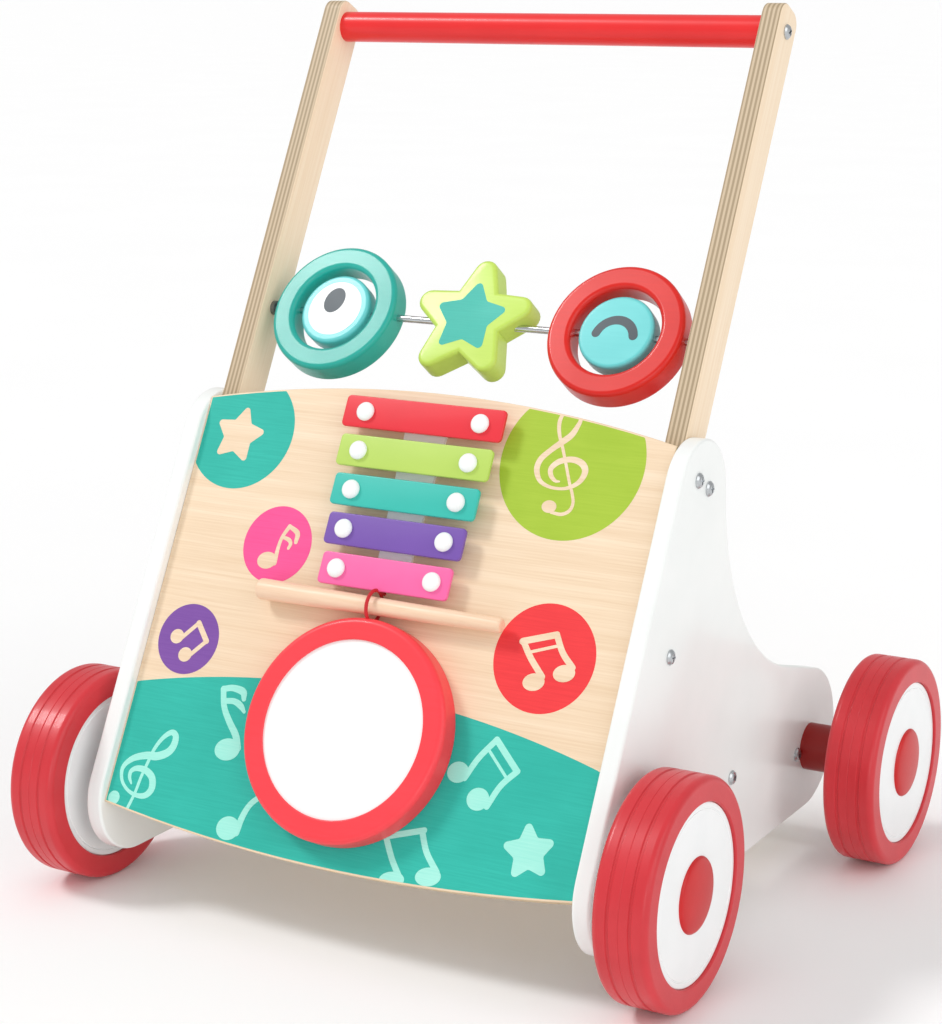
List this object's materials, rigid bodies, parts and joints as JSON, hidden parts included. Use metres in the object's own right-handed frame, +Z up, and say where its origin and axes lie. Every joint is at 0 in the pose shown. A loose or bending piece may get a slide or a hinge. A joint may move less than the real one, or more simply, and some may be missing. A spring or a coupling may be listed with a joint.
{
  "type": "baby walker",
  "caption": "Wooden push-along baby walker with a leaning activity panel, xylophone, drum, mallet, spinning shapes on a rod, a round push handle and rubber-tyred wheels.",
  "frame": {"origin": "on the ground, on the centre plane, midway between the two axles", "axes": "-Y forwards, the way the walker rolls and the activity panel faces; +X to the right seen from the front; +Z up"},
  "size_m": [0.4402, 0.364, 0.4903],
  "materials": {
    "white_paint": "satin white paint",
    "plywood": "clear-lacquered birch plywood",
    "upright_ply": "clear-lacquered birch plywood",
    "bare_wood": "plain sanded wood",
    "mallet_wood": "plain sanded beech",
    "red_paint": "satin red paint",
    "teal_paint": "satin teal paint",
    "light_teal_paint": "satin light teal paint",
    "lime_paint": "satin lime paint",
    "tyre_rubber": "matt red rubber",
    "hub_red": "satin red plastic",
    "steel": "drawn steel",
    "screw_chrome": "bright plated screws",
    "key_red": "gloss enamel",
    "key_lime": "gloss enamel",
    "key_teal": "gloss enamel",
    "key_purple": "gloss enamel",
    "key_pink": "gloss enamel",
    "pin_white": "gloss white plastic",
    "pad_rubber": "soft pale rubber",
    "strip_white": "matt white plastic",
    "drum_red": "satin red plastic",
    "drum_skin": "matt white film",
    "loop_red": "red elastic cord"
  },
  "bodies": {
    "frame": {"side_panel_left": "white_paint", "side_panel_right": "white_paint", "front_panel": "plywood", "upright_left": "upright_ply", "upright_right": "upright_ply", "handle_bar": "red_paint", "handle_screws": "screw_chrome", "upright_screws": "screw_chrome", "frame_screws": "screw_chrome", "middle_stretcher": "bare_wood", "rear_stretcher": "bare_wood", "front_axle": "steel", "rear_axle": "steel", "front_spacers": "hub_red", "rear_spacers": "hub_red", "wheel_washers": "steel", "axle_retainers": "steel", "spinner_rod": "steel", "rod_collars": "steel", "xylophone_base": "strip_white", "key_red": "key_red", "key_lime": "key_lime", "key_teal": "key_teal", "key_purple": "key_purple", "key_pink": "key_pink", "key_pins": "pin_white", "key_pads": "pad_rubber", "drum_ring": "drum_red", "drum_skin": "drum_skin", "drum_hoop": "bare_wood", "mallet_loop": "loop_red"},
    "front_left_wheel": {"front_left_tyre": "tyre_rubber", "front_left_disc": "white_paint", "front_left_hub_cap": "hub_red"},
    "front_right_wheel": {"front_right_tyre": "tyre_rubber", "front_right_disc": "white_paint", "front_right_hub_cap": "hub_red"},
    "rear_left_wheel": {"rear_left_tyre": "tyre_rubber", "rear_left_disc": "white_paint", "rear_left_hub_cap": "hub_red"},
    "rear_right_wheel": {"rear_right_tyre": "tyre_rubber", "rear_right_disc": "white_paint", "rear_right_hub_cap": "hub_red"},
    "left_ring": {"ring_left": "teal_paint"},
    "eye_spinner": {"eye_disc": "light_teal_paint"},
    "star_spinner": {"star": "lime_paint"},
    "right_ring": {"ring_right": "red_paint"},
    "wink_spinner": {"wink_disc": "light_teal_paint"},
    "mallet_stick": {"mallet": "mallet_wood"}
  },
  "joints": [
    {"name": "front_left_wheel_spin", "type": "hinge", "parent": "frame", "child": "front_left_wheel", "pos_m": [-0.18, -0.122, 0.06], "axis": [1, 0, 0], "continuous": true},
    {"name": "front_right_wheel_spin", "type": "hinge", "parent": "frame", "child": "front_right_wheel", "pos_m": [0.18, -0.122, 0.06], "axis": [1, 0, 0], "continuous": true},
    {"name": "rear_left_wheel_spin", "type": "hinge", "parent": "frame", "child": "rear_left_wheel", "pos_m": [-0.18, 0.122, 0.06], "axis": [1, 0, 0], "continuous": true},
    {"name": "rear_right_wheel_spin", "type": "hinge", "parent": "frame", "child": "rear_right_wheel", "pos_m": [0.18, 0.122, 0.06], "axis": [1, 0, 0], "continuous": true},
    {"name": "left_ring_spin", "type": "hinge", "parent": "frame", "child": "left_ring", "pos_m": [-0.0895, -0.00283, 0.31575], "axis": [1, 0, 0], "continuous": true},
    {"name": "eye_spinner_spin", "type": "hinge", "parent": "frame", "child": "eye_spinner", "pos_m": [-0.0895, -0.00283, 0.31575], "axis": [1, 0, 0], "continuous": true},
    {"name": "star_spinner_spin", "type": "hinge", "parent": "frame", "child": "star_spinner", "pos_m": [0, -0.00283, 0.31575], "axis": [1, 0, 0], "continuous": true},
    {"name": "right_ring_spin", "type": "hinge", "parent": "frame", "child": "right_ring", "pos_m": [0.0895, -0.00283, 0.31575], "axis": [1, 0, 0], "continuous": true},
    {"name": "wink_spinner_spin", "type": "hinge", "parent": "frame", "child": "wink_spinner", "pos_m": [0.0895, -0.00283, 0.31575], "axis": [1, 0, 0], "continuous": true},
    {"name": "mallet_slide", "type": "slide", "parent": "frame", "child": "mallet_stick", "axis": [-1, 0, 0], "range_m": [0, 0.065]}
  ]
}
